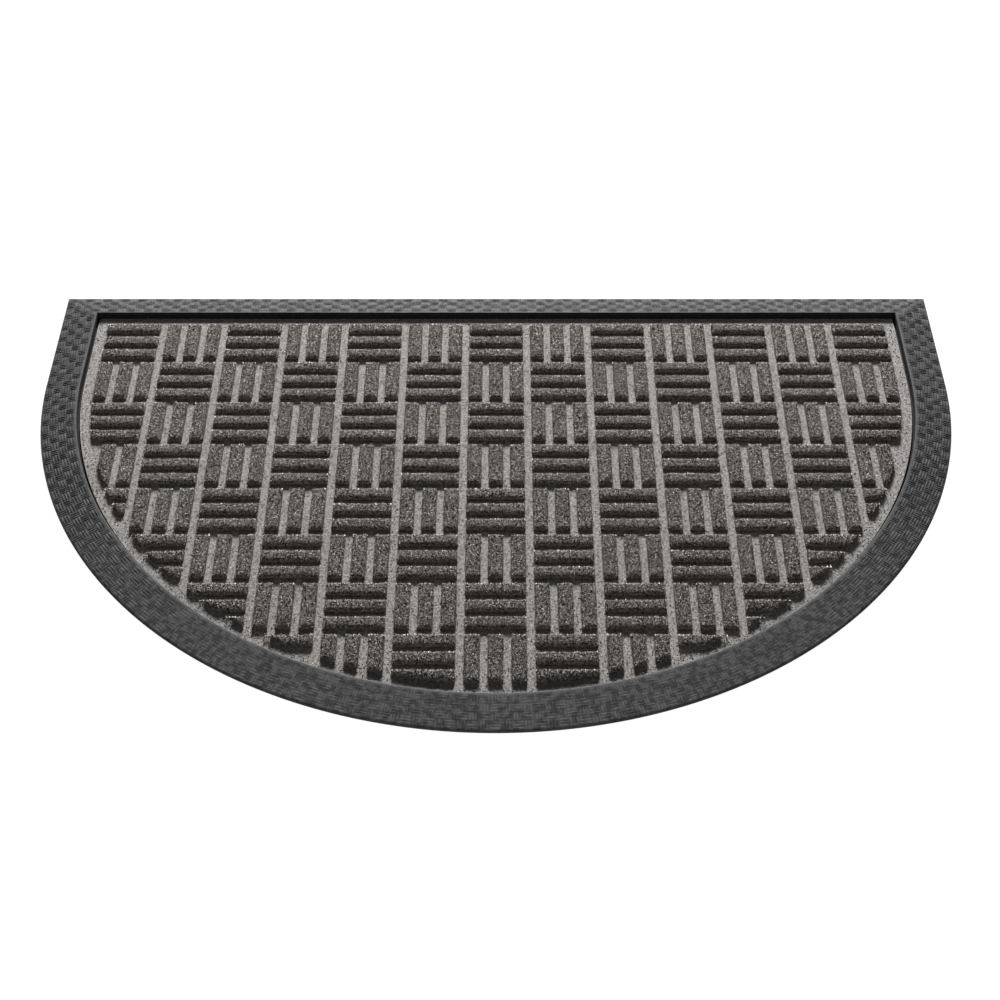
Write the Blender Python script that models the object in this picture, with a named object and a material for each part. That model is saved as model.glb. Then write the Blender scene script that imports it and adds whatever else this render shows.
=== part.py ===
"""Half moon entrance mat: a moulded rubber tray with a ribbed carpet insert.

Metres, +Z up. The mat lies flat on the floor with its underside at z = 0. The straight edge
is on the +Y side and the round edge on the -Y side. The origin is under the middle of the
mat's bounding box.
"""

import math

import bmesh
import bpy
from mathutils import Vector
from mathutils.geometry import delaunay_2d_cdt

# Outline of the mat
WIDTH = 0.910
SIDE_LENGTH = 0.142
RADIUS = WIDTH / 2
DEPTH = SIDE_LENGTH + RADIUS
ARC_CENTRE_Y = RADIUS - DEPTH / 2
ARC_STEPS = 72

# Rubber tray: a thin base and a bevelled border that ends in a narrow lip
BORDER_WIDTH = 0.0366
LIP_WIDTH = 0.0018
LIP_RISE = 0.0003
LIP_HEIGHT = 0.011
EDGE_HEIGHT = 0.0040
EDGE_ROUND = 0.001
BASE_THICKNESS = 0.0022

# The border along the straight far side is a little narrower than the rest
FAR_SHARE = 0.925

# Carpet insert: a sheet in the recess of the tray, with raised bars on it
FIT_GAP = 0.0003
CARPET_GROOVE = 0.0022
CARPET_FLOOR = 0.0050
BAR_TOP = 0.0106

# Raised bars: square cells of three bars, turned a quarter from each cell to the next
COLUMNS = 13
ROWS = 8
CELL_PITCH = 0.0629
BARS_PER_CELL = 3
BAR_WIDTH = 0.0141
BAR_LENGTH = 0.0557
BAR_STEP = (BAR_LENGTH - BAR_WIDTH) / (BARS_PER_CELL - 1)
FAR_MARGIN = 0.0157
CURVE_MARGIN = 0.0130

# Section of a bar: its walls lean in a little and its top edge is rounded off
BAR_DRAFT = 0.0006
BAR_SHOULDER = 0.0015
BAR_CROWN_INSET = 0.0026

# The smallest edge and area that a bar keeps where the curve cuts it
SMALLEST_EDGE = 0.003
SMALLEST_BAR_AREA = 60e-6

WELD_DISTANCE = 1e-6
SHARP_ANGLE = math.radians(30)


def clear_scene():
    """Remove every object that the scene starts with."""
    for thing in list(bpy.data.objects):
        bpy.data.objects.remove(thing, do_unlink=True)


def make_material(name, colour, roughness):
    """A non-metallic material of one colour."""
    material = bpy.data.materials.new(name)
    material.use_nodes = True
    shader = material.node_tree.nodes["Principled BSDF"]
    shader.inputs["Base Color"].default_value = (*colour, 1.0)
    shader.inputs["Roughness"].default_value = roughness
    shader.inputs["Metallic"].default_value = 0.0
    return material


def mat_outline(inset):
    """The mat's outline drawn in by a distance, which is a little less on the far side.

    The points run anticlockwise as seen from above.
    """
    radius = RADIUS - inset
    far = DEPTH / 2 - inset * FAR_SHARE
    points = [Vector((radius, far)), Vector((-radius, far))]
    for step in range(ARC_STEPS + 1):
        angle = math.pi * (1 + step / ARC_STEPS)
        points.append(Vector((
            radius * math.cos(angle),
            ARC_CENTRE_Y + radius * math.sin(angle),
        )))
    return points


def edges_of(outline):
    """Each edge of a closed outline as a pair of points."""
    return list(zip(outline, outline[1:] + outline[:1]))


def clip_outline(outline, window):
    """What a convex window leaves of a convex outline, both anticlockwise."""
    for start, end in edges_of(window):
        kept = []
        for here, there in edges_of(outline):
            side_here = (end - start).cross(here - start)
            side_there = (end - start).cross(there - start)
            if side_here >= 0:
                kept.append(here)
            if side_here * side_there < 0:
                kept.append(here.lerp(there, side_here / (side_here - side_there)))
        outline = kept
        if not outline:
            break
    return outline


def inset_outline(outline, distance):
    """A convex anticlockwise outline with every edge moved inwards by a distance."""
    moved = []
    for start, end in edges_of(outline):
        along = (end - start).normalized()
        inwards = Vector((-along.y, along.x))
        moved.append((start + inwards * distance, along))
    corners = []
    for (point_a, along_a), (point_b, along_b) in zip(moved[-1:] + moved[:-1], moved):
        reach = (point_b - point_a).cross(along_b) / along_a.cross(along_b)
        corners.append(point_a + along_a * reach)
    return corners


def outline_area(outline):
    """Area inside an anticlockwise outline."""
    return sum(here.cross(there) for here, there in edges_of(outline)) / 2


def keeps_its_edges(outline, distance):
    """Whether every edge still runs the same way once the outline is drawn in."""
    drawn_in = inset_outline(outline, distance)
    pairs = zip(edges_of(outline), edges_of(drawn_in))
    return all((b - a).dot(d - c) > 0 for (a, b), (c, d) in pairs)


def merge_short_edges(outline):
    """The outline with short edges turned into points, until its crown can be drawn."""
    points = list(outline)
    while len(points) > 2:
        lengths = [(there - here).length for here, there in edges_of(points)]
        shortest = min(lengths)
        if shortest >= SMALLEST_EDGE and keeps_its_edges(points, BAR_CROWN_INSET):
            break
        index = lengths.index(shortest)
        following = (index + 1) % len(points)
        points[index] = points[index].lerp(points[following], 0.5)
        del points[following]
    return points


def cell_bars(column, row):
    """Outlines of the bars in one cell, which run along X or Y in turn."""
    centre_x = (column - (COLUMNS - 1) / 2) * CELL_PITCH
    first_y = DEPTH / 2 - BORDER_WIDTH * FAR_SHARE - FAR_MARGIN - BAR_LENGTH / 2
    centre_y = first_y - row * CELL_PITCH
    runs_along_x = (column + row) % 2 == 0
    bars = []
    for index in range(BARS_PER_CELL):
        offset = (index - (BARS_PER_CELL - 1) / 2) * BAR_STEP
        if runs_along_x:
            middle = Vector((centre_x, centre_y + offset))
            half = Vector((BAR_LENGTH / 2, BAR_WIDTH / 2))
        else:
            middle = Vector((centre_x + offset, centre_y))
            half = Vector((BAR_WIDTH / 2, BAR_LENGTH / 2))
        bars.append([
            middle + Vector((-half.x, -half.y)),
            middle + Vector((half.x, -half.y)),
            middle + Vector((half.x, half.y)),
            middle + Vector((-half.x, half.y)),
        ])
    return bars


def field_bars():
    """Outlines of all the bars, cut off along the round edge of the carpet."""
    field = mat_outline(BORDER_WIDTH + CURVE_MARGIN)
    outlines = []
    for row in range(ROWS):
        for column in range(COLUMNS):
            for bar in cell_bars(column, row):
                outline = merge_short_edges(clip_outline(bar, field))
                if len(outline) > 2 and outline_area(outline) > SMALLEST_BAR_AREA:
                    outlines.append(outline)
    return outlines


def add_ring(mesh, outline, height):
    """Points along an outline at one height."""
    return [mesh.verts.new((point.x, point.y, height)) for point in outline]


def join_rings(mesh, lower, upper):
    """A band of faces between two rings of as many points."""
    for index, corner in enumerate(lower):
        following = (index + 1) % len(lower)
        mesh.faces.new((corner, lower[following], upper[following], upper[index]))


def add_floor(mesh, outline, holes, height):
    """The level face inside an outline and around the holes, in triangles."""
    points = list(outline)
    loops = [list(range(len(outline)))]
    for hole in holes:
        loops.append(list(range(len(points), len(points) + len(hole))))
        points.extend(hole)
    keep_inside = 1
    result = delaunay_2d_cdt(points, [], loops, keep_inside, WELD_DISTANCE, True)
    corners = [mesh.verts.new((point.x, point.y, height)) for point in result[0]]
    for triangle, loops_around in zip(result[2], result[5]):
        if loops_around == [0]:
            mesh.faces.new([corners[index] for index in triangle])


def add_bar(mesh, outline):
    """The walls and the top of one bar, which stands on the carpet's floor."""
    base = add_ring(mesh, outline, CARPET_FLOOR)
    shoulder = add_ring(mesh, inset_outline(outline, BAR_DRAFT), BAR_TOP - BAR_SHOULDER)
    crown = add_ring(mesh, inset_outline(outline, BAR_CROWN_INSET), BAR_TOP)
    join_rings(mesh, base, shoulder)
    join_rings(mesh, shoulder, crown)
    mesh.faces.new(crown)


def finish_object(name, mesh, material):
    """Turn a bmesh into a smooth-shaded object with one material."""
    bmesh.ops.remove_doubles(mesh, verts=mesh.verts, dist=WELD_DISTANCE)
    bmesh.ops.recalc_face_normals(mesh, faces=mesh.faces)
    data = bpy.data.meshes.new(name)
    mesh.to_mesh(data)
    mesh.free()
    data.shade_smooth()
    data.set_sharp_from_angle(angle=SHARP_ANGLE)
    data.materials.append(material)
    thing = bpy.data.objects.new(name, data)
    bpy.context.scene.collection.objects.link(thing)
    return thing


def make_tray(material):
    """The moulded rubber: base, bevelled border with mitred far corners, and lip."""
    bevel_end = BORDER_WIDTH - LIP_WIDTH
    section = (
        (0.0, 0.0),
        (0.0, EDGE_HEIGHT - EDGE_ROUND),
        (EDGE_ROUND, EDGE_HEIGHT),
        (bevel_end, LIP_HEIGHT - LIP_RISE),
        (bevel_end + LIP_RISE / 2, LIP_HEIGHT),
        (BORDER_WIDTH, LIP_HEIGHT),
        (BORDER_WIDTH, BASE_THICKNESS),
    )
    mesh = bmesh.new()
    rings = [add_ring(mesh, mat_outline(inset), height) for inset, height in section]
    for lower, upper in zip(rings, rings[1:]):
        join_rings(mesh, lower, upper)
    mesh.faces.new(list(reversed(rings[0])))
    mesh.faces.new(rings[-1])
    return finish_object("rubber_tray", mesh, material)


def make_carpet(material):
    """The insert: one sheet with the bars raised on its face."""
    outline = mat_outline(BORDER_WIDTH + CARPET_GROOVE)
    bars = field_bars()
    mesh = bmesh.new()
    underside = add_ring(mesh, outline, BASE_THICKNESS + FIT_GAP)
    rim = add_ring(mesh, outline, CARPET_FLOOR)
    join_rings(mesh, underside, rim)
    mesh.faces.new(list(reversed(underside)))
    add_floor(mesh, outline, bars, CARPET_FLOOR)
    for bar in bars:
        add_bar(mesh, bar)
    return finish_object("carpet_insert", mesh, material)


def main():
    clear_scene()
    make_tray(make_material("rubber", (0.045, 0.045, 0.048), 0.6))
    make_carpet(make_material("carpet", (0.17, 0.165, 0.155), 0.95))


main()
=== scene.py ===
"""Looks of the half moon entrance mat: moulded rubber border, ribbed carpet and its pile."""

import math

import bmesh
import bpy
import numpy as np
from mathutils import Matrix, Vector
from mathutils.geometry import delaunay_2d_cdt


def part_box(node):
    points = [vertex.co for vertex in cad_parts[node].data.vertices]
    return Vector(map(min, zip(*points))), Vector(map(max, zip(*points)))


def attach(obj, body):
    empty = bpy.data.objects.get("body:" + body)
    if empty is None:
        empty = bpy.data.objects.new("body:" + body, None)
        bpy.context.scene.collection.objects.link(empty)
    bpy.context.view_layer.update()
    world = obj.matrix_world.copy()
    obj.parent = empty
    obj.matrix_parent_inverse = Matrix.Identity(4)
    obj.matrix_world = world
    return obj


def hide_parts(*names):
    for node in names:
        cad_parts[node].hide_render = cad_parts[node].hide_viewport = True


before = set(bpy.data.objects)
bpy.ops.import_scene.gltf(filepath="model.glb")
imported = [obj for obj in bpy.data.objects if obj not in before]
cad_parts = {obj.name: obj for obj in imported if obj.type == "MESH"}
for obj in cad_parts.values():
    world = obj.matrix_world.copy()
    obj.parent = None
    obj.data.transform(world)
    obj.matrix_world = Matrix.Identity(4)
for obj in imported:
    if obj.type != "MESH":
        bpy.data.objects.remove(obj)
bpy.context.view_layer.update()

# Sizes read from the solids
TRAY_LOW, TRAY_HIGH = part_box("rubber_tray")
CARPET_LOW, CARPET_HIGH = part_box("carpet_insert")
RADIUS = TRAY_HIGH.x
DEPTH = TRAY_HIGH.y - TRAY_LOW.y
SIDE_LENGTH = DEPTH - RADIUS
ARC_CENTRE_Y = TRAY_LOW.y + RADIUS
LIP_HEIGHT = TRAY_HIGH.z
CARPET_UNDERSIDE = CARPET_LOW.z
CARPET_INSET = RADIUS - CARPET_HIGH.x
BAR_TOP = CARPET_HIGH.z

# Rubber border, whose far side is a little narrower than the rest
BORDER_WIDTH = 0.0366
FAR_SHARE = 0.925
LIP_WIDTH = 0.0018
EDGE_HEIGHT = 0.0040
BASE_THICKNESS = 0.0022
BEVEL_START = 0.0009
BEVEL_END = BORDER_WIDTH - LIP_WIDTH
BEVEL_LOW = EDGE_HEIGHT - 0.0002
BEVEL_HIGH = LIP_HEIGHT - 0.0002
SMOOTH_BAND = 0.0009
SMOOTH_START = BEVEL_END - SMOOTH_BAND
LIP_MIDDLE = BORDER_WIDTH - LIP_WIDTH / 2
BORDER_ARC_STEPS = 288
BORDER_STRAIGHT_STEP = 0.012

# The walls' rubber, painted darker as painted shade, shows as far in as EDGE_TURN, and again
# from LIP_FALL
EDGE_TURN = 0.0002
LIP_FALL = LIP_MIDDLE + 0.0002

# Section of the border on both sides of its bevel: inset from the outline, and height
EDGE_SECTION = (
    (0.0003, 0.0),
    (0.0, 0.0004),
    (0.0, EDGE_HEIGHT - 0.0014),
    (0.0002, EDGE_HEIGHT - 0.0007),
    (0.0006, EDGE_HEIGHT - 0.0003),
    (BEVEL_START, BEVEL_LOW),
)
LIP_SECTION = (
    (BEVEL_END, BEVEL_HIGH),
    (BEVEL_END + 0.0004, LIP_HEIGHT - 0.0001),
    (LIP_MIDDLE, LIP_HEIGHT),
    (LIP_FALL, LIP_HEIGHT - 0.00006),
    (BORDER_WIDTH - 0.0004, LIP_HEIGHT - 0.0004),
    (BORDER_WIDTH - 0.0001, LIP_HEIGHT - 0.0010),
    (BORDER_WIDTH, LIP_HEIGHT - 0.0020),
    (BORDER_WIDTH, BASE_THICKNESS + 0.0003),
    (BORDER_WIDTH + 0.0003, BASE_THICKNESS),
)

# Material slots of the border and of the carpet
BEVEL_SLOT, LIP_HIGHLIGHT_SLOT, WALL_SHADE_SLOT = range(3)
FLOOR_SLOT, BAR_SLOT = range(2)

# Basket pattern on the bevel: rows of cells, each with three ribs
WEAVE_ROWS = 4
WEAVE_CELL = 0.00935
NARROW_CELL = 0.85
RIBS_PER_CELL = 3
RIB_FILL = 0.62
RIB_HEIGHT = 0.0006
RIB_SINK = 0.00004
RIB_END_GAP = 0.0004
RIB_SPANS = 4
MITRE_GAP = 0.0006
SHORTEST_RIB = 0.0015

# Stations along a rib: share of its length, and share of its height there
RIB_STATIONS = ((0.0, 0.15), (0.1, 0.8), (0.5, 1.0), (0.9, 0.8), (1.0, 0.15))

# Carpet: a level sheet with raised bars, in square cells turned a quarter in turn
CARPET_FLOOR = 0.0050
FLOOR_SINK = 0.0002
COLUMNS = 13
ROWS = 8
CELL_PITCH = 0.0629
BARS_PER_CELL = 3
BAR_WIDTH = 0.0141
BAR_LENGTH = 0.0557
BAR_STEP = (BAR_LENGTH - BAR_WIDTH) / (BARS_PER_CELL - 1)
FAR_MARGIN = 0.0157
CURVE_MARGIN = 0.0130
SMALLEST_EDGE = 0.003
SMALLEST_BAR_AREA = 60e-6
BAR_CROWN_INSET = 0.0026
BAR_CORNER = 0.0022
BAR_SIDE_STEP = 0.0042
BAR_WOBBLE = 0.00024
CORNER_STEPS = 2
FIELD_ARC_STEPS = 72
CARPET_ARC_STEPS = 144

# Section of a bar from its foot to its crown: inset from its outline, and share of its rise
BAR_SECTION = (
    (0.0002, 0.0),
    (0.0005, 0.48),
    (0.0010, 0.76),
    (0.0018, 0.90),
    (0.0029, 0.96),
    (0.0048, 0.99),
)

# Pile: small tufts all over the carpet
TOP_TUFT_SPACING = 0.00138
TOP_TUFT_RADIUS = 0.0008
TOP_TUFT_HEIGHT = 0.0011
TOP_TUFT_TONES = (0.25, 1.0)
WALL_TUFT_SPACING = 0.0022
WALL_TUFT_RADIUS = 0.0009
WALL_TUFT_HEIGHT = 0.0009
WALL_TUFT_TONES = (0.6, 1.0)
WALL_TUFT_LEVELS = (0.2, 0.5, 0.8)
WALL_TUFT_BACK = 0.0004
WALL_TUFT_TILT = 0.3
FLOOR_TUFT_SPACING = 0.0018
FLOOR_TUFT_RADIUS = 0.0010
FLOOR_TUFT_HEIGHT = 0.0004
FLOOR_TUFT_TONES = (0.6, 1.0)
FLOOR_TUFT_MARGIN = 0.0008
TUFT_ROOT_DEPTH = 0.0002
# Painted shade: the root corners of a tuft take this share of its tone
ROOT_PAINTED_SHADE = 0.5

# Unevenness of the pile, each as a share of a spacing, a radius or a height
GRID_JITTER = 0.42
TUFT_RADIUS_RANGE = (0.75, 1.3)
TUFT_HEIGHT_RANGE = (0.55, 1.35)
TUFT_LEAN = 0.35
WALL_JITTER_ALONG = 0.35
WALL_JITTER_UP = 0.1

# Painted shade on the tufts of a bar: darker at the rims of its top, most at those running along
# X; on its walls darker towards the foot, and a little painted light near their top
SIDE_RIM_SHADE = 0.60
END_RIM_SHADE = 0.34
RIM_SHADE_REACH = 0.0058
FOOT_SHADE = 0.15
WALL_SHADE_RISE = 1.3
WALL_SHADE_POWER = 1.4

# Wear of the ribs: the share of their height left as far as WORN_Y; from UNWORN_Y all is left
WORN_SHARE = 0.17
WORN_Y = -0.18
UNWORN_Y = 0.03

# Grey of the rubber from the round side to the straight side: share of the way, and grey
DEPTH_GREY_STOPS = (
    (0.0, 0.78),
    (0.15, 0.64),
    (0.32, 0.51),
    (0.5, 0.42),
    (0.92, 0.41),
    (0.96, 0.53),
)
LIP_DEPTH_GREY_STOPS = (
    (0.0, 0.82),
    (0.32, 0.56),
    (0.5, 0.41),
    (0.90, 0.40),
    (0.94, 0.27),
)

# Warmth of the fibres in the strips and in the bars
FLOOR_TINT = (1.05, 0.99, 0.94)
BAR_TINT = (1.09, 1.0, 0.91)

# Rubbers: dark and light grey of the bloom, roughness, and level of the shine
MATT_RUBBER = (0.072, 0.166, 0.76, 0.12)
# The lip's rubber is painted paler than the bevel's: a painted highlight along the lip
LIP_RUBBER_PAINTED_HIGHLIGHT = (0.20, 0.26, 0.68, 0.12)
# The walls' rubber is painted darker: painted shade on the outer wall, the inner fall of the lip
# and the recess wall
WALL_RUBBER_PAINTED_SHADE = (0.045, 0.065, 0.80, 0.1)
RIB_RUBBER = (0.088, 0.215, 0.76, 0.12)

# Fibres: dark and light grey, and how soft the change between them is
FLOOR_FIBRE = (0.14, 0.36, 0.14)
# The bars' fibre is painted darker than the strips': painted shade on their walls and between
# their tufts
SHADED_BAR_FIBRE = (0.04, 0.18, 0.12)
FLOOR_PILE = (0.22, 0.64, 0.11)
BAR_PILE = (0.08, 1.0, 0.07)
WALL_PILE = (0.15, 1.0, 0.06)

# Scales of the noises in the rubber and in the fibre
BLOOM_SCALE = 170.0
SHINE_SCALE = 160.0
GRAIN_SCALE = 1400.0
RUBBER_BUMP_SCALE = 1100.0
FIBRE_SCALE = 430.0
PATCH_SCALE = 60.0
FIBRE_BUMP_SCALE = 900.0

# How far the rubber's roughness wanders to either side
SHINE_SPREAD = 0.06

# Camera
CAMERA_TARGET = Vector((0.004, -0.0101, 0.0))
CAMERA_DISTANCE = 1.892
CAMERA_ELEVATION = math.radians(43.3)
FOCAL_LENGTH_MM = 71.5
SENSOR_MM = 36.0

# Soft boxes: place, size and power
KEY_LIGHT = ((0.0, 3.8, 1.81), (1.2, 0.8), 510.0)
FILL_LIGHT = ((0.0, -3.2, 1.25), (2.0, 0.6), 15.0)

# Strength of the even light, and how far the studio's floor reaches
EVEN_LIGHT = 0.08
STUDIO_REACH = 6.0

WELD_DISTANCE = 1e-6
SHARP_ANGLE = math.radians(40)
BAR_SEED = 11
PILE_SEED = 23


def border_outline(inset, arc_steps, straight_step=None):
    """The mat's outline drawn in by a distance, anticlockwise as seen from above."""
    radius = RADIUS - inset
    far = DEPTH / 2 - inset * FAR_SHARE
    corners = [Vector((radius, far)), Vector((-radius, far))]
    points = []
    if straight_step:
        spans = round(2 * RADIUS / straight_step)
        points += [corners[0].lerp(corners[1], i / spans) for i in range(spans)]
        spans = round(SIDE_LENGTH / straight_step)
        foot = Vector((-radius, ARC_CENTRE_Y))
        points += [corners[1].lerp(foot, i / spans) for i in range(spans)]
    else:
        points += corners
    for step in range(arc_steps + 1):
        angle = math.pi * (1 + step / arc_steps)
        points.append(Vector((
            radius * math.cos(angle),
            ARC_CENTRE_Y + radius * math.sin(angle),
        )))
    if straight_step:
        foot = Vector((radius, ARC_CENTRE_Y))
        points += [foot.lerp(corners[0], i / spans) for i in range(1, spans)]
    return points


def edges_of(outline):
    """Each edge of a closed outline as a pair of points."""
    return list(zip(outline, outline[1:] + outline[:1]))


def clip_outline(outline, window):
    """What a convex window leaves of a convex outline, both anticlockwise."""
    for start, end in edges_of(window):
        kept = []
        for here, there in edges_of(outline):
            side_here = (end - start).cross(here - start)
            side_there = (end - start).cross(there - start)
            if side_here >= 0:
                kept.append(here)
            if side_here * side_there < 0:
                kept.append(here.lerp(there, side_here / (side_here - side_there)))
        outline = kept
        if not outline:
            break
    return outline


def inset_outline(outline, distance):
    """A convex anticlockwise outline with every edge moved inwards by a distance."""
    moved = []
    for start, end in edges_of(outline):
        along = (end - start).normalized()
        inwards = Vector((-along.y, along.x))
        moved.append((start + inwards * distance, along))
    corners = []
    for (point_a, along_a), (point_b, along_b) in zip(moved[-1:] + moved[:-1], moved):
        reach = (point_b - point_a).cross(along_b) / along_a.cross(along_b)
        corners.append(point_a + along_a * reach)
    return corners


def outline_area(outline):
    """Area inside an anticlockwise outline."""
    return sum(here.cross(there) for here, there in edges_of(outline)) / 2


def keeps_its_edges(outline, distance):
    """Whether every edge still runs the same way once the outline is drawn in."""
    drawn_in = inset_outline(outline, distance)
    pairs = zip(edges_of(outline), edges_of(drawn_in))
    return all((b - a).dot(d - c) > 0 for (a, b), (c, d) in pairs)


def merge_short_edges(outline):
    """The outline with short edges turned into points, until its crown can be drawn."""
    points = list(outline)
    while len(points) > 2:
        lengths = [(there - here).length for here, there in edges_of(points)]
        shortest = min(lengths)
        if shortest >= SMALLEST_EDGE and keeps_its_edges(points, BAR_CROWN_INSET):
            break
        index = lengths.index(shortest)
        following = (index + 1) % len(points)
        points[index] = points[index].lerp(points[following], 0.5)
        del points[following]
    return points


def cell_bars(column, row):
    """Outlines of the bars in one cell, which run along X or Y in turn."""
    centre_x = (column - (COLUMNS - 1) / 2) * CELL_PITCH
    first_y = DEPTH / 2 - BORDER_WIDTH * FAR_SHARE - FAR_MARGIN - BAR_LENGTH / 2
    centre_y = first_y - row * CELL_PITCH
    runs_along_x = (column + row) % 2 == 0
    bars = []
    for index in range(BARS_PER_CELL):
        offset = (index - (BARS_PER_CELL - 1) / 2) * BAR_STEP
        if runs_along_x:
            middle = Vector((centre_x, centre_y + offset))
            half = Vector((BAR_LENGTH / 2, BAR_WIDTH / 2))
        else:
            middle = Vector((centre_x + offset, centre_y))
            half = Vector((BAR_WIDTH / 2, BAR_LENGTH / 2))
        bars.append([
            middle + Vector((-half.x, -half.y)),
            middle + Vector((half.x, -half.y)),
            middle + Vector((half.x, half.y)),
            middle + Vector((-half.x, half.y)),
        ])
    return bars


def field_bars():
    """Outlines of all the bars, cut off along the round edge of the carpet."""
    field = border_outline(BORDER_WIDTH + CURVE_MARGIN, FIELD_ARC_STEPS)
    outlines = []
    for row in range(ROWS):
        for column in range(COLUMNS):
            for bar in cell_bars(column, row):
                outline = merge_short_edges(clip_outline(bar, field))
                if len(outline) > 2 and outline_area(outline) > SMALLEST_BAR_AREA:
                    outlines.append(outline)
    return outlines


def add_ring(mesh, outline, height):
    """Points along an outline at one height."""
    return [mesh.verts.new((point.x, point.y, height)) for point in outline]


def join_rings(mesh, lower, upper, slot):
    """A band of faces between two rings of as many points."""
    for index, corner in enumerate(lower):
        following = (index + 1) % len(lower)
        face = mesh.faces.new((corner, lower[following], upper[following], upper[index]))
        face.material_index = slot


def finish_mesh(name, mesh, materials):
    """Turn a bmesh into a smooth-shaded object with its materials."""
    data = bpy.data.meshes.new(name)
    mesh.to_mesh(data)
    mesh.free()
    return finish_data(name, data, materials, SHARP_ANGLE)


def finish_data(name, data, materials, sharp=None):
    """Link a mesh as an object that rides on the mat's one body."""
    data.shade_smooth()
    if sharp:
        data.set_sharp_from_angle(angle=sharp)
    for material in materials:
        data.materials.append(material)
    thing = bpy.data.objects.new(name, data)
    bpy.context.scene.collection.objects.link(thing)
    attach(thing, "root")
    return thing


# Materials


def new_material(name):
    """A node material, its node tree and its Principled shader."""
    material = bpy.data.materials.new(name)
    material.use_nodes = True
    tree = material.node_tree
    return material, tree, tree.nodes["Principled BSDF"]


def add_noise(tree, scale, detail=3.0, roughness=0.6):
    """Noise in the mat's own coordinates, whose grain is about 1 / scale metres."""
    place = tree.nodes.get("Place") or tree.nodes.new("ShaderNodeTexCoord")
    place.name = "Place"
    noise = tree.nodes.new("ShaderNodeTexNoise")
    noise.inputs["Scale"].default_value = scale
    noise.inputs["Detail"].default_value = detail
    noise.inputs["Roughness"].default_value = roughness
    tree.links.new(place.outputs["Object"], noise.inputs["Vector"])
    return noise.outputs["Fac"]


def add_ramp(tree, factor, stops):
    """A colour ramp over a factor; each stop is a place and a grey or a colour."""
    ramp = tree.nodes.new("ShaderNodeValToRGB")
    elements = ramp.color_ramp.elements
    while len(elements) < len(stops):
        elements.new(0.5)
    for element, (place, tone) in zip(elements, stops):
        colour = (tone,) * 3 if isinstance(tone, float) else tone
        element.position = place
        element.color = (*colour, 1.0)
    tree.links.new(factor, ramp.inputs["Fac"])
    return ramp.outputs["Color"]


def add_mix(tree, kind, factor, first, second):
    """Mix two colours; the factor is a number or a socket."""
    mix = tree.nodes.new("ShaderNodeMix")
    mix.data_type = "RGBA"
    mix.blend_type = kind
    if isinstance(factor, float):
        mix.inputs["Factor"].default_value = factor
    else:
        tree.links.new(factor, mix.inputs["Factor"])
    for socket, value in ((mix.inputs["A"], first), (mix.inputs["B"], second)):
        if isinstance(value, tuple):
            socket.default_value = (*value, 1.0)
        else:
            tree.links.new(value, socket)
    return mix.outputs["Result"]


def add_bump(tree, shader, height, strength, distance):
    """Bump from a height socket."""
    bump = tree.nodes.new("ShaderNodeBump")
    bump.inputs["Strength"].default_value = strength
    bump.inputs["Distance"].default_value = distance
    tree.links.new(height, bump.inputs["Height"])
    tree.links.new(bump.outputs["Normal"], shader.inputs["Normal"])


def add_depth_grey(tree, stops):
    """A grey that changes from the round side of the mat to its straight side, as the stops
    give.
    """
    place = tree.nodes["Place"]
    parts = tree.nodes.new("ShaderNodeSeparateXYZ")
    tree.links.new(place.outputs["Object"], parts.inputs["Vector"])
    share = tree.nodes.new("ShaderNodeMapRange")
    share.inputs["From Min"].default_value = -DEPTH / 2
    share.inputs["From Max"].default_value = DEPTH / 2
    tree.links.new(parts.outputs["Y"], share.inputs["Value"])
    return add_ramp(tree, share.outputs["Result"], stops)


def rubber_material(name, looks, depth_stops):
    """Matt moulded rubber: near-black grey with a faint bloom and a fine grain."""
    dark, light, roughness, specular = looks
    material, tree, shader = new_material(name)
    bloom = add_ramp(tree, add_noise(tree, BLOOM_SCALE, 2.0), ((0.40, dark), (0.60, light)))
    grain = add_ramp(tree, add_noise(tree, GRAIN_SCALE), ((0.3, 0.72), (0.7, 1.0)))
    colour = add_mix(tree, "MULTIPLY", 1.0, bloom, grain)
    colour = add_mix(tree, "MULTIPLY", 1.0, colour, add_depth_grey(tree, depth_stops))
    tree.links.new(colour, shader.inputs["Base Color"])
    stops = ((0.3, roughness - SHINE_SPREAD), (0.7, roughness + SHINE_SPREAD))
    shine = add_ramp(tree, add_noise(tree, SHINE_SCALE), stops)
    tree.links.new(shine, shader.inputs["Roughness"])
    shader.inputs["Specular IOR Level"].default_value = specular
    add_bump(tree, shader, add_noise(tree, RUBBER_BUMP_SCALE), 0.35, 0.0002)
    return material


def carpet_material(name, tint, looks, tufted):
    """Needled fibre in mixed warm greys; tufts carry a tone of random grey and painted shade,
    dark at the root.
    """
    dark, light, softness = looks
    material, tree, shader = new_material(name)
    stops = (
        (0.5 - softness, tuple(dark * part for part in tint)),
        (0.5 + softness, tuple(light * part for part in tint)),
    )
    colour = add_ramp(tree, add_noise(tree, FIBRE_SCALE, 3.0, 0.7), stops)
    patches = add_ramp(tree, add_noise(tree, PATCH_SCALE), ((0.3, 0.86), (0.7, 1.0)))
    colour = add_mix(tree, "MULTIPLY", 1.0, colour, patches)
    if tufted:
        tone = tree.nodes.new("ShaderNodeAttribute")
        tone.attribute_name = "tone"
        colour = add_mix(tree, "MULTIPLY", 1.0, colour, tone.outputs["Color"])
    tree.links.new(colour, shader.inputs["Base Color"])
    shader.inputs["Roughness"].default_value = 0.92
    shader.inputs["Specular IOR Level"].default_value = 0.2
    shader.inputs["Sheen Weight"].default_value = 0.05
    shader.inputs["Sheen Roughness"].default_value = 0.6
    add_bump(tree, shader, add_noise(tree, FIBRE_BUMP_SCALE, 4.0, 0.7), 0.8, 0.0006)
    return material


# Rubber tray


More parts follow.
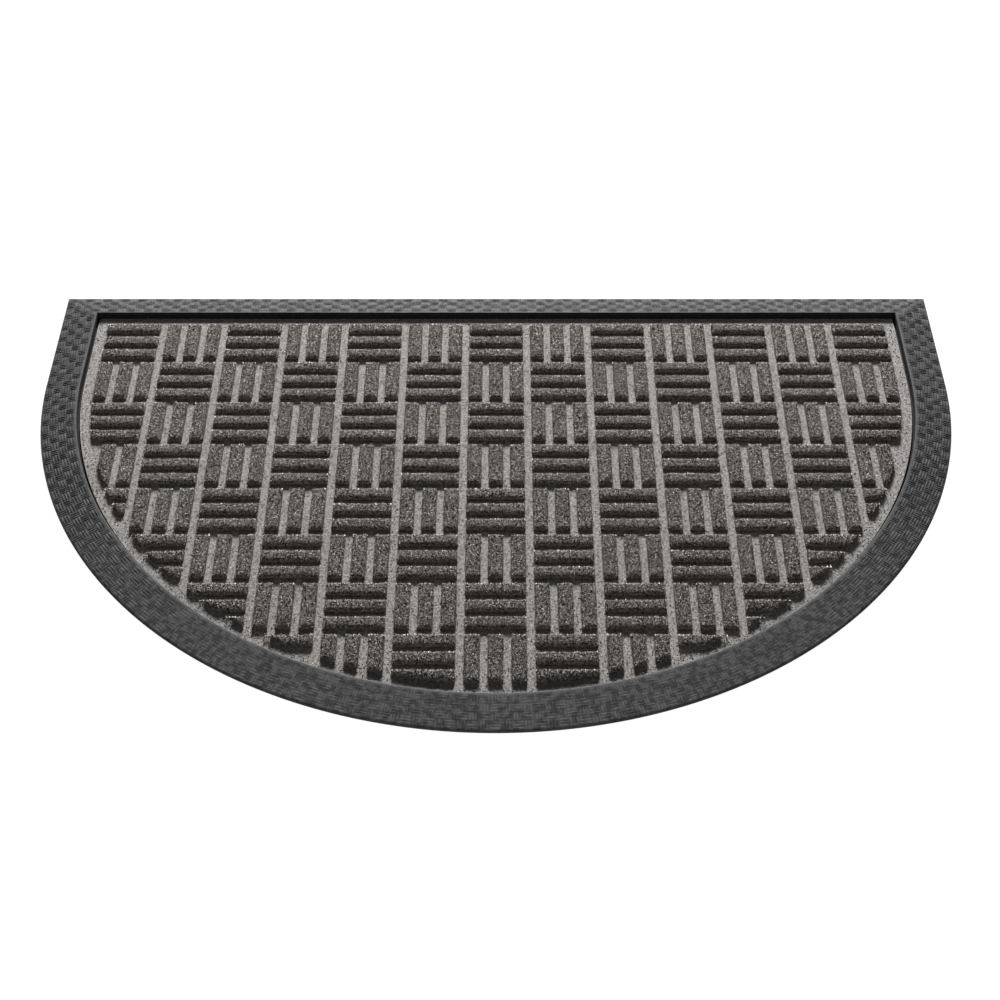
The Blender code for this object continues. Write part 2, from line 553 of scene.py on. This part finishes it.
def bevel_height(across):
    """Height of the bevel at a distance in from the mat's edge."""
    share = (across - BEVEL_START) / (BEVEL_END - BEVEL_START)
    return BEVEL_LOW + share * (BEVEL_HIGH - BEVEL_LOW)


def border_slot(inset):
    """Which of its rubbers the border shows inwards of a point of its section."""
    if inset < EDGE_TURN or inset >= LIP_FALL:
        return WALL_SHADE_SLOT
    return LIP_HIGHLIGHT_SLOT if inset >= SMOOTH_START else BEVEL_SLOT


def make_border(materials):
    """The rubber tray: foot, bevelled border with mitred corners, lip and recess."""
    bevel_top = (SMOOTH_START, bevel_height(SMOOTH_START))
    section = (*EDGE_SECTION, bevel_top, *LIP_SECTION)
    mesh = bmesh.new()
    rings = []
    for inset, height in section:
        outline = border_outline(inset, BORDER_ARC_STEPS, BORDER_STRAIGHT_STEP)
        rings.append(add_ring(mesh, outline, height))
    for (inset, _), lower, upper in zip(section, rings, rings[1:]):
        join_rings(mesh, lower, upper, border_slot(inset))
    mesh.faces.new(list(reversed(rings[0])))
    mesh.faces.new(rings[-1]).material_index = WALL_SHADE_SLOT
    border = finish_mesh("rubber_border", mesh, materials)
    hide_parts("rubber_tray")
    return border


def side_run_point(along, across):
    """Plan point on the run of border down the left side, round the curve and back up."""
    middle = RADIUS - BORDER_WIDTH / 2
    radius = RADIUS - across
    arc_length = math.pi * middle
    if along < SIDE_LENGTH:
        return Vector((-radius, DEPTH / 2 - along))
    if along > SIDE_LENGTH + arc_length:
        back = along - SIDE_LENGTH - arc_length
        return Vector((radius, ARC_CENTRE_Y + back))
    angle = math.pi + (along - SIDE_LENGTH) / middle
    out = Vector((math.cos(angle), math.sin(angle)))
    return Vector((0, ARC_CENTRE_Y)) + out * radius


def far_run_point(along, across):
    """Plan point on the run of border along the straight far side."""
    return Vector((RADIUS - along, DEPTH / 2 - across * FAR_SHARE))


def rib_height(y):
    """Height of the ribs, which feet have worn down towards the round side."""
    return RIB_HEIGHT * float(np.interp(y, (WORN_Y, UNWORN_Y), (WORN_SHARE, 1.0)))


def rib_strips(run_length):
    """Each rib of a run as its two ends (along, across), and the width of its cell."""
    cells = round(run_length / WEAVE_CELL)
    cell = run_length / cells
    row_width = (SMOOTH_START - BEVEL_START) / WEAVE_ROWS
    for row in range(WEAVE_ROWS):
        near = BEVEL_START + row * row_width
        for index in range(cells):
            runs_along = (index + row) % 2 == 0
            width = cell * (2 - NARROW_CELL if runs_along else NARROW_CELL)
            start = (index + 0.5) * cell - width / 2
            for rib in range(RIBS_PER_CELL):
                share = (rib + 0.5) / RIBS_PER_CELL
                if runs_along:
                    across = near + share * row_width
                    yield (start, across), (start + width, across), row_width
                else:
                    along = start + share * width
                    yield (along, near), (along, near + row_width), width


def mitred(ends, run_length):
    """A rib's ends cut back to the mitres at both ends of its run, or None."""
    (along_a, across_a), (along_b, across_b) = ends
    if across_a == across_b:
        low = max(along_a, across_a + MITRE_GAP)
        high = min(along_b, run_length - across_a - MITRE_GAP)
        return ((low, across_a), (high, across_b)) if high - low > SHORTEST_RIB else None
    reach = min(along_a, run_length - along_a) - MITRE_GAP
    top = min(across_b, reach)
    return ((along_a, across_a), (along_b, top)) if top - across_a > SHORTEST_RIB else None


def add_rib(points, faces, run_point, ends, width):
    """One rounded rib from end to end, standing a little out of the bevel."""
    (along_a, across_a), (along_b, across_b) = ends
    length = abs(along_b - along_a) + abs(across_b - across_a)
    trim = RIB_END_GAP / 2 / length
    half = width / RIBS_PER_CELL * RIB_FILL / 2
    across_run = along_a == along_b
    base = len(points)
    for share, rise in RIB_STATIONS:
        share = trim + share * (1 - 2 * trim)
        along = along_a + (along_b - along_a) * share
        across = across_a + (across_b - across_a) * share
        for span in range(RIB_SPANS + 1):
            turn = math.pi * span / RIB_SPANS
            shift = -half * math.cos(turn)
            place = (along + shift, across) if across_run else (along, across + shift)
            plan = run_point(*place)
            lift = rise * rib_height(plan.y) * math.sin(turn) - RIB_SINK
            points.append((plan.x, plan.y, bevel_height(place[1]) + lift))
    points_per_station = RIB_SPANS + 1
    for station in range(len(RIB_STATIONS) - 1):
        for span in range(RIB_SPANS):
            corner = base + station * points_per_station + span
            beyond = corner + points_per_station
            quad = (corner, corner + 1, beyond + 1, beyond)
            faces.append(quad if across_run else tuple(reversed(quad)))


def make_weave(material):
    """The basket pattern of ribs on the bevel, as one mesh."""
    points = []
    faces = []
    runs = (
        (side_run_point, 2 * SIDE_LENGTH + math.pi * (RADIUS - BORDER_WIDTH / 2)),
        (far_run_point, 2 * RADIUS),
    )
    for run_point, run_length in runs:
        for start, end, width in rib_strips(run_length):
            ends = mitred((start, end), run_length)
            if ends:
                add_rib(points, faces, run_point, ends, width)
    data = bpy.data.meshes.new("border_weave")
    data.from_pydata(points, [], faces)
    weave = finish_data("border_weave", data, [material])
    return weave


# Carpet


def bar_height(inset):
    """Height of a bar's surface at an inset from its outline, for one number or many."""
    rise = BAR_TOP - CARPET_FLOOR - TOP_TUFT_HEIGHT
    insets, shares = zip(*BAR_SECTION)
    return CARPET_FLOOR + rise * np.interp(inset, insets, shares)


def bar_ring(outline, inset):
    """An outline with rounded corners, drawn in by a distance."""
    sides = inset_outline(outline, BAR_CORNER)
    core = inset_outline(outline, max(inset, BAR_CORNER))
    reach = max(BAR_CORNER - inset, 0.0)
    ring = []
    pairs = edges_of(core)
    lengths = [(there - here).length for here, there in edges_of(sides)]
    for (before, here), (_, after), length in zip(pairs, pairs[1:] + pairs[:1], lengths):
        way_in = here - before
        way_out = after - here
        spans = max(1, round(length / BAR_SIDE_STEP))
        outwards = Vector((way_in.y, -way_in.x)).normalized()
        for span in range(1, spans):
            ring.append(before.lerp(here, span / spans) + outwards * reach)
        first = math.atan2(outwards.y, outwards.x)
        turn = math.atan2(way_in.cross(way_out), way_in.dot(way_out))
        for step in range(CORNER_STEPS + 1):
            angle = first + turn * step / CORNER_STEPS
            ring.append(here + Vector((math.cos(angle), math.sin(angle))) * reach)
    return ring


def add_floor(mesh, outline, holes, height):
    """The level face inside an outline and around the holes, in triangles."""
    points = list(outline)
    loops = [list(range(len(outline)))]
    for hole in holes:
        loops.append(list(range(len(points), len(points) + len(hole))))
        points.extend(hole)
    keep_inside = 1
    result = delaunay_2d_cdt(points, [], loops, keep_inside, WELD_DISTANCE, True)
    corners = [mesh.verts.new((point.x, point.y, height)) for point in result[0]]
    for triangle, loops_around in zip(result[2], result[5]):
        if loops_around == [0]:
            face = mesh.faces.new([corners[index] for index in triangle])
            face.material_index = FLOOR_SLOT


def add_bar(mesh, bar, foot, foot_height, wobble):
    """One bar up from its foot; its walls are moved in and out a little, its top isn't."""
    middle = sum(foot, Vector((0, 0))) / len(foot)
    rings = [add_ring(mesh, foot, foot_height)]
    for inset, _ in BAR_SECTION[1:]:
        if not keeps_its_edges(bar, inset):
            break
        shifts = wobble if inset < BAR_CORNER else wobble * 0
        moved = []
        for point, shift in zip(bar_ring(bar, inset), shifts):
            moved.append(point + (point - middle).normalized() * shift)
        rings.append(add_ring(mesh, moved, float(bar_height(inset))))
    for lower, upper in zip(rings, rings[1:]):
        join_rings(mesh, lower, upper, BAR_SLOT)
    mesh.faces.new(rings[-1]).material_index = BAR_SLOT


def make_carpet(floor_material, bar_material, bars):
    """The carpet as one sheet with rounded, slightly uneven bars on its face."""
    mesh = bmesh.new()
    random = np.random.default_rng(BAR_SEED)
    floor_height = CARPET_FLOOR - FLOOR_SINK
    outline = border_outline(CARPET_INSET, CARPET_ARC_STEPS)
    underside = add_ring(mesh, outline, CARPET_UNDERSIDE)
    rim = add_ring(mesh, outline, floor_height)
    join_rings(mesh, underside, rim, FLOOR_SLOT)
    mesh.faces.new(list(reversed(underside)))
    feet = [bar_ring(bar, BAR_SECTION[0][0]) for bar in bars]
    add_floor(mesh, outline, feet, floor_height)
    for bar, foot in zip(bars, feet):
        wobble = random.normal(0.0, BAR_WOBBLE, len(foot))
        add_bar(mesh, bar, foot, floor_height, wobble)
    bmesh.ops.remove_doubles(mesh, verts=mesh.verts, dist=WELD_DISTANCE)
    bmesh.ops.recalc_face_normals(mesh, faces=mesh.faces)
    carpet = finish_mesh("carpet_sheet", mesh, [floor_material, bar_material])
    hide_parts("carpet_insert")
    return carpet


# Pile


def scattered(low, high, spacing, random):
    """Jittered grid points in a rectangle."""
    across = np.arange(low[0], high[0], spacing)
    along = np.arange(low[1], high[1], spacing)
    grid = np.stack(np.meshgrid(across, along), axis=-1).reshape(-1, 2)
    return grid + random.uniform(-GRID_JITTER, GRID_JITTER, grid.shape) * spacing


def corners_of_box(outline):
    """The lowest and the highest corner of the box around an outline."""
    low = (min(point.x for point in outline), min(point.y for point in outline))
    high = (max(point.x for point in outline), max(point.y for point in outline))
    return low, high


def depth_and_way(points, outline):
    """How far each point lies inside a convex outline, and the way in from its nearest edge."""
    depth = np.full(len(points), np.inf)
    way = np.zeros((len(points), 2))
    for start, end in edges_of(outline):
        along = (end - start).normalized()
        inwards = np.array((-along.y, along.x))
        here = (points - np.array(start)) @ inwards
        way[here < depth] = inwards
        depth = np.minimum(depth, here)
    return depth, way


def add_tufts(name, place, tuft_size, material, random, tones):
    """Three-sided tufts; each has a root darkened as painted shade and a lighter, leaning tip.

    The place is made up of their roots, the ways that they point and their painted shade.
    """
    roots, ups, painted_shade = place
    radius, height = tuft_size
    count = len(roots)
    turn = random.uniform(0, 2 * math.pi, count)
    size = radius * random.uniform(*TUFT_RADIUS_RANGE, count)
    rise = height * random.uniform(*TUFT_HEIGHT_RANGE, count)
    slant = np.array((0.36, 0.48, 0.8))
    side_x = np.cross(ups, slant)
    side_x /= np.linalg.norm(side_x, axis=1)[:, None]
    side_y = np.cross(ups, side_x)
    corners = []
    for third in range(3):
        angle = turn + third * 2 * math.pi / 3
        reach = np.cos(angle)[:, None] * side_x + np.sin(angle)[:, None] * side_y
        corners.append(roots + reach * size[:, None] - ups * TUFT_ROOT_DEPTH)
    lean = random.normal(0.0, TUFT_LEAN, (count, 3)) * size[:, None]
    tip = roots + ups * rise[:, None] + lean
    points = np.stack([*corners, tip], axis=1).reshape(-1, 3)
    base = np.arange(count)[:, None] * 4
    sides = ((0, 1, 3), (1, 2, 3), (2, 0, 3))
    faces = np.concatenate([base + np.array(side) for side in sides])
    data = bpy.data.meshes.new(name)
    data.vertices.add(len(points))
    data.vertices.foreach_set("co", points.astype(np.float32).ravel())
    data.loops.add(faces.size)
    data.loops.foreach_set("vertex_index", faces.astype(np.int32).ravel())
    data.polygons.add(len(faces))
    data.polygons.foreach_set("loop_start", np.arange(len(faces), dtype=np.int32) * 3)
    data.update(calc_edges=True)
    # Random grey times the painted shade; the root corners are darker still, painted shade at
    # the roots
    shade = random.uniform(*tones, count) * painted_shade
    tone = np.stack([shade * ROOT_PAINTED_SHADE] * 3 + [shade], axis=1).ravel()
    colours = np.repeat(tone[:, None], 4, axis=1)
    colours[:, 3] = 1.0
    layer = data.color_attributes.new("tone", "FLOAT_COLOR", "POINT")
    layer.data.foreach_set("color", colours.astype(np.float32).ravel())
    tufts = finish_data(name, data, [material])
    return tufts


def bar_top_roots(bars, random):
    """Roots of the tufts on the tops of the bars, the way that they point and their painted
    shade.

    Tufts are darker towards the rims, as painted shade, and more so towards those that run along
    X.
    """
    step = 0.0002
    roots = []
    ups = []
    painted_shades = []
    for bar in bars:
        found = scattered(*corners_of_box(bar), TOP_TUFT_SPACING, random)
        depth, way = depth_and_way(found, bar)
        kept = depth > BAR_SECTION[2][0]
        found, depth, way = found[kept], depth[kept], way[kept]
        slope = (bar_height(depth + step) - bar_height(depth - step)) / (2 * step)
        roots.append(np.column_stack([found, bar_height(depth)]))
        ups.append(np.column_stack([-way * slope[:, None], np.ones(len(found))]))
        # Painted shade: darker towards the rims of the top, most at those that run along X
        least = SIDE_RIM_SHADE + (END_RIM_SHADE - SIDE_RIM_SHADE) * np.abs(way[:, 1])
        painted_shades.append(least + (1 - least) * np.clip(depth / RIM_SHADE_REACH, 0, 1))
    ups = np.concatenate(ups)
    ups /= np.linalg.norm(ups, axis=1)[:, None]
    return np.concatenate(roots), ups, np.concatenate(painted_shades)


def bar_wall_roots(bars, random):
    """Roots of the tufts on the walls of the bars, the way that they point and their painted
    shade.
    """
    section_insets, section_shares = zip(*BAR_SECTION)
    roots = []
    ups = []
    painted_shades = []
    for bar in bars:
        for start, end in edges_of(bar):
            along = (end - start).normalized()
            outwards = Vector((along.y, -along.x))
            count = max(1, round((end - start).length / WALL_TUFT_SPACING))
            for level in WALL_TUFT_LEVELS:
                for index in range(count):
                    shift = random.uniform(-WALL_JITTER_ALONG, WALL_JITTER_ALONG)
                    share = (index + 0.5 + shift) / count
                    rise = level + random.uniform(-WALL_JITTER_UP, WALL_JITTER_UP)
                    back = np.interp(rise, section_shares, section_insets)
                    place = start.lerp(end, share) - outwards * (back + WALL_TUFT_BACK)
                    up = CARPET_FLOOR + rise * (BAR_TOP - CARPET_FLOOR - TOP_TUFT_HEIGHT)
                    roots.append((place.x, place.y, up))
                    ups.append((outwards.x, outwards.y, WALL_TUFT_TILT + level))
                    # Painted shade darker towards the foot of the wall, a little painted light
                    # near its top
                    painted_shades.append(FOOT_SHADE + WALL_SHADE_RISE * rise**WALL_SHADE_POWER)
    ups = np.array(ups)
    ups /= np.linalg.norm(ups, axis=1)[:, None]
    return np.array(roots), ups, np.array(painted_shades)


def floor_roots(bars, random):
    """Roots of the tufts on the level strips between the bars, the way up and no painted shade.
    """
    outline = border_outline(CARPET_INSET, FIELD_ARC_STEPS)
    mat_low = (-RADIUS, -DEPTH / 2)
    mat_high = (RADIUS, DEPTH / 2)
    found = scattered(mat_low, mat_high, FLOOR_TUFT_SPACING, random)
    depth, _ = depth_and_way(found, outline)
    found = found[depth > FLOOR_TUFT_MARGIN]
    free = np.ones(len(found), bool)
    for bar in bars:
        low, high = corners_of_box(bar)
        near = np.flatnonzero(np.all((found > low) & (found < high), axis=1))
        depth, _ = depth_and_way(found[near], bar)
        free[near[depth > 0.0]] = False
    found = found[free]
    roots = np.column_stack([found, np.full(len(found), CARPET_FLOOR - FLOOR_SINK)])
    ups = np.tile(np.array((0.0, 0.0, 1.0)), (len(found), 1))
    return roots, ups, np.ones(len(found))


def make_pile(floor_pile, bar_pile, wall_pile, bars):
    """All the tufts, in two meshes for the tops of the bars and one each for walls and floor."""
    random = np.random.default_rng(PILE_SEED)
    made = []
    size = (TOP_TUFT_RADIUS, TOP_TUFT_HEIGHT)
    for name, share in (("pile_tops_a", bars[0::2]), ("pile_tops_b", bars[1::2])):
        place = bar_top_roots(share, random)
        made.append(add_tufts(name, place, size, bar_pile, random, TOP_TUFT_TONES))
    place = bar_wall_roots(bars, random)
    size = (WALL_TUFT_RADIUS, WALL_TUFT_HEIGHT)
    made.append(add_tufts("pile_walls", place, size, wall_pile, random, WALL_TUFT_TONES))
    place = floor_roots(bars, random)
    size = (FLOOR_TUFT_RADIUS, FLOOR_TUFT_HEIGHT)
    made.append(add_tufts("pile_floor", place, size, floor_pile, random, FLOOR_TUFT_TONES))
    return made


# Stage, lights and camera


def make_stage():
    """A plain pale floor."""
    material, tree, shader = new_material("studio_floor")
    shader.inputs["Base Color"].default_value = (0.05, 0.05, 0.05, 1.0)
    shader.inputs["Roughness"].default_value = 0.9
    shader.inputs["Emission Color"].default_value = (1.0, 1.0, 1.0, 1.0)
    shader.inputs["Emission Strength"].default_value = 1.0
    data = bpy.data.meshes.new("studio_floor")
    reach = STUDIO_REACH
    corners = [(-reach, -reach, 0), (reach, -reach, 0), (reach, reach, 0), (-reach, reach, 0)]
    data.from_pydata(corners, [], [(0, 1, 2, 3)])
    data.materials.append(material)
    floor = bpy.data.objects.new("studio_floor", data)
    bpy.context.scene.collection.objects.link(floor)


def add_area_light(name, place, size, power):
    """A soft box that faces the mat."""
    light = bpy.data.lights.new(name, "AREA")
    light.shape = "RECTANGLE"
    light.size = size[0]
    light.size_y = size[1]
    light.energy = power
    thing = bpy.data.objects.new(name, light)
    thing.location = place
    thing.rotation_euler = (-Vector(place)).to_track_quat("-Z", "Y").to_euler()
    bpy.context.scene.collection.objects.link(thing)


def make_lights():
    """A low soft box well behind the mat, a faint one in front and faint even light."""
    world = bpy.data.worlds.new("studio")
    world.use_nodes = True
    background = world.node_tree.nodes["Background"]
    background.inputs["Color"].default_value = (1.0, 1.0, 1.0, 1.0)
    background.inputs["Strength"].default_value = EVEN_LIGHT
    bpy.context.scene.world = world
    add_area_light("key", *KEY_LIGHT)
    add_area_light("fill", *FILL_LIGHT)
    bpy.context.scene.view_settings.view_transform = "Standard"


def make_camera():
    """The camera at the front, looking down at the mat."""
    camera = bpy.data.cameras.new("camera")
    camera.lens = FOCAL_LENGTH_MM
    camera.sensor_width = SENSOR_MM
    thing = bpy.data.objects.new("camera", camera)
    back = Vector((0, -math.cos(CAMERA_ELEVATION), math.sin(CAMERA_ELEVATION)))
    thing.location = CAMERA_TARGET + back * CAMERA_DISTANCE
    thing.rotation_euler = (-back).to_track_quat("-Z", "Y").to_euler()
    bpy.context.scene.collection.objects.link(thing)
    bpy.context.scene.camera = thing


make_camera()
make_lights()
make_stage()

matt_rubber = rubber_material("matt_rubber", MATT_RUBBER, DEPTH_GREY_STOPS)
# The lip's rubber is painted paler as a painted highlight
lip_rubber_painted_highlight = rubber_material("lip_rubber_painted_highlight", LIP_RUBBER_PAINTED_HIGHLIGHT, LIP_DEPTH_GREY_STOPS)
# The walls' rubber is painted darker as painted shade
wall_rubber_painted_shade = rubber_material("wall_rubber_painted_shade", WALL_RUBBER_PAINTED_SHADE, DEPTH_GREY_STOPS)
rib_rubber = rubber_material("rib_rubber", RIB_RUBBER, DEPTH_GREY_STOPS)
make_border([matt_rubber, lip_rubber_painted_highlight, wall_rubber_painted_shade])
make_weave(rib_rubber)

floor_fibre = carpet_material("carpet_floor", FLOOR_TINT, FLOOR_FIBRE, tufted=False)
# The bars' fibre is painted darker, painted shade on their walls and between their tufts
shaded_bar_fibre = carpet_material("carpet_bar", BAR_TINT, SHADED_BAR_FIBRE, tufted=False)
floor_pile = carpet_material("pile_floor", FLOOR_TINT, FLOOR_PILE, tufted=True)
bar_pile = carpet_material("pile_bar", BAR_TINT, BAR_PILE, tufted=True)
wall_pile = carpet_material("pile_wall", BAR_TINT, WALL_PILE, tufted=True)
bar_outlines = field_bars()
carpet_sheet = make_carpet(floor_fibre, shaded_bar_fibre, bar_outlines)
pile = make_pile(floor_pile, bar_pile, wall_pile, bar_outlines)
